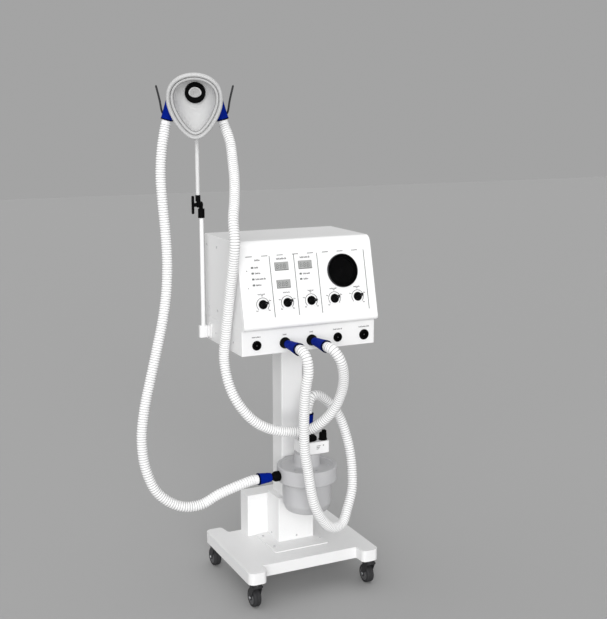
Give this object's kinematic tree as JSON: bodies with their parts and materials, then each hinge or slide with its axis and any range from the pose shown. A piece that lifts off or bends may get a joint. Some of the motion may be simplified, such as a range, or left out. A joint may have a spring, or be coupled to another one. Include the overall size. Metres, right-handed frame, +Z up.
{
  "type": "mechanical ventilator",
  "caption": "Wheeled lung ventilator with sloped control panel, heated humidifier, corrugated breathing hoses, tilting support arm and face mask.",
  "frame": {"origin": "on the floor under the middle of the object without its hoses", "axes": "+X right seen from the front, +Y to the back, +Z up"},
  "size_m": [0.6225, 0.4474, 1.3441],
  "materials": {
    "white_shell": "satin white paint",
    "white_plastic": "moulded white plastic",
    "grey_plastic": "matte grey",
    "pale_plastic": "pale grey",
    "soft_rubber": "soft translucent grey",
    "black_plastic": "black",
    "dark_metal": "dark painted steel",
    "tyre": "dark grey rubber",
    "blue_plastic": "deep blue",
    "board": "grey display windows",
    "clear": "clear lens",
    "hose": "white corrugated plastic"
  },
  "bodies": {
    "stand": {"base_plate": "white_shell", "column": "white_shell", "column_foot": "white_shell", "battery_box": "white_shell", "battery_pack": "black_plastic", "lower_chassis": "white_shell", "casing": "white_shell", "front_bezel": "white_plastic", "rear_cover": "white_shell", "display_board": "board", "blower": "black_plastic", "port_1": "black_plastic", "port_2": "black_plastic", "port_3": "black_plastic", "port_4": "black_plastic", "port_5": "black_plastic", "gauge_body": "black_plastic", "gauge_lens": "clear", "power_inlet": "black_plastic", "arm_bracket": "white_shell", "lower_rod": "white_shell", "elbow_base": "black_plastic", "cuff_port_2": "blue_plastic", "cuff_port_3": "blue_plastic", "humidifier_head": "grey_plastic", "humidifier_control": "white_plastic", "humidifier_side_port": "black_plastic", "humidifier_top_port": "black_plastic", "cuff_humidifier_side": "blue_plastic", "cuff_humidifier_top": "blue_plastic", "hose_inspiratory": "hose", "hose_expiratory": "hose", "hose_feed": "hose"},
    "fork_fl": {"caster_fork_fl": "dark_metal"},
    "wheel_fl": {"caster_wheel_fl": "tyre"},
    "fork_fr": {"caster_fork_fr": "dark_metal"},
    "wheel_fr": {"caster_wheel_fr": "tyre"},
    "fork_rl": {"caster_fork_rl": "dark_metal"},
    "wheel_rl": {"caster_wheel_rl": "tyre"},
    "fork_rr": {"caster_fork_rr": "dark_metal"},
    "wheel_rr": {"caster_wheel_rr": "tyre"},
    "knob_body_1": {"knob_1": "black_plastic"},
    "knob_body_2": {"knob_2": "black_plastic"},
    "knob_body_3": {"knob_3": "black_plastic"},
    "knob_body_4": {"knob_4": "black_plastic"},
    "knob_body_5": {"knob_5": "black_plastic"},
    "needle": {"gauge_needle": "white_plastic"},
    "upper_arm": {"elbow_tongue": "black_plastic", "upper_rod": "pale_plastic", "hose_hanger": "dark_metal", "wye_piece": "pale_plastic", "cuff_wye_left": "blue_plastic", "cuff_wye_right": "blue_plastic"},
    "lever": {"clamp_lever": "black_plastic"},
    "mask": {"mask_shell": "pale_plastic", "mask_cushion": "soft_rubber", "mask_port": "black_plastic"},
    "valve": {"humidifier_valve_knob": "black_plastic"},
    "jar": {"humidifier_jar": "grey_plastic"},
    "switch": {"power_switch": "black_plastic"}
  },
  "joints": [
    {"name": "swivel_fl", "type": "hinge", "parent": "stand", "child": "fork_fl", "pos_m": [-0.09369, -0.1205, 0.066], "axis": [0, 0, 1], "continuous": true},
    {"name": "roll_fl", "type": "hinge", "parent": "fork_fl", "child": "wheel_fl", "pos_m": [-0.09369, -0.1065, 0.025], "axis": [1, 0, 0], "continuous": true},
    {"name": "swivel_fr", "type": "hinge", "parent": "stand", "child": "fork_fr", "pos_m": [0.23631, -0.1205, 0.066], "axis": [0, 0, 1], "continuous": true},
    {"name": "roll_fr", "type": "hinge", "parent": "fork_fr", "child": "wheel_fr", "pos_m": [0.23631, -0.1065, 0.025], "axis": [1, 0, 0], "continuous": true},
    {"name": "swivel_rl", "type": "hinge", "parent": "stand", "child": "fork_rl", "pos_m": [-0.09369, 0.1595, 0.066], "axis": [0, 0, 1], "continuous": true},
    {"name": "roll_rl", "type": "hinge", "parent": "fork_rl", "child": "wheel_rl", "pos_m": [-0.09369, 0.1735, 0.025], "axis": [1, 0, 0], "continuous": true},
    {"name": "swivel_rr", "type": "hinge", "parent": "stand", "child": "fork_rr", "pos_m": [0.23631, 0.1595, 0.066], "axis": [0, 0, 1], "continuous": true},
    {"name": "roll_rr", "type": "hinge", "parent": "fork_rr", "child": "wheel_rr", "pos_m": [0.23631, 0.1735, 0.025], "axis": [1, 0, 0], "continuous": true},
    {"name": "turn_knob_1", "type": "hinge", "parent": "stand", "child": "knob_body_1", "pos_m": [-0.06919, -0.11883, 0.791], "axis": [0, -0.9707, 0.2402], "range_deg": [-135, 135]},
    {"name": "turn_knob_2", "type": "hinge", "parent": "stand", "child": "knob_body_2", "pos_m": [-0.00319, -0.11883, 0.791], "axis": [0, -0.9707, 0.2402], "range_deg": [-135, 135]},
    {"name": "turn_knob_3", "type": "hinge", "parent": "stand", "child": "knob_body_3", "pos_m": [0.06231, -0.11883, 0.791], "axis": [0, -0.9707, 0.2402], "range_deg": [-135, 135]},
    {"name": "turn_knob_4", "type": "hinge", "parent": "stand", "child": "knob_body_4", "pos_m": [0.12731, -0.11883, 0.791], "axis": [0, -0.9707, 0.2402], "range_deg": [-135, 135]},
    {"name": "turn_knob_5", "type": "hinge", "parent": "stand", "child": "knob_body_5", "pos_m": [0.19331, -0.11883, 0.791], "axis": [0, -0.9707, 0.2402], "range_deg": [-135, 135]},
    {"name": "needle_sweep", "type": "hinge", "parent": "stand", "child": "needle", "pos_m": [0.15731, -0.10237, 0.85749], "axis": [0, -0.9707, 0.2402], "range_deg": [-270, 0], "stiffness_Nm_per_rad": 0.002},
    {"name": "elbow_tilt", "type": "hinge", "parent": "stand", "child": "upper_arm", "pos_m": [-0.15369, 0.0965, 1.0195], "axis": [1, 0, 0], "range_deg": [-30, 30], "deforming": ["hose_inspiratory", "hose_expiratory"]},
    {"name": "clamp_turn", "type": "hinge", "parent": "stand", "child": "lever", "pos_m": [-0.16669, 0.0965, 1.0195], "axis": [1, 0, 0], "range_deg": [-90, 90]},
    {"name": "mask_swivel", "type": "hinge", "parent": "upper_arm", "child": "mask", "pos_m": [-0.17429, 0.04428, 1.29852], "axis": [-0.3618, -0.8956, -0.2588], "range_deg": [-30, 30]},
    {"name": "valve_turn", "type": "hinge", "parent": "stand", "child": "valve", "pos_m": [0.11631, -0.0785, 0.42], "axis": [0, 0, 1], "range_deg": [-135, 135]},
    {"name": "jar_twist", "type": "hinge", "parent": "stand", "child": "jar", "pos_m": [0.07731, -0.0635, 0.26], "axis": [0, 0, 1], "range_deg": [0, 30]},
    {"name": "switch_rock", "type": "hinge", "parent": "stand", "child": "switch", "pos_m": [0.13931, 0.1265, 0.757], "axis": [1, 0, 0], "range_deg": [-8, 8]}
  ]
}
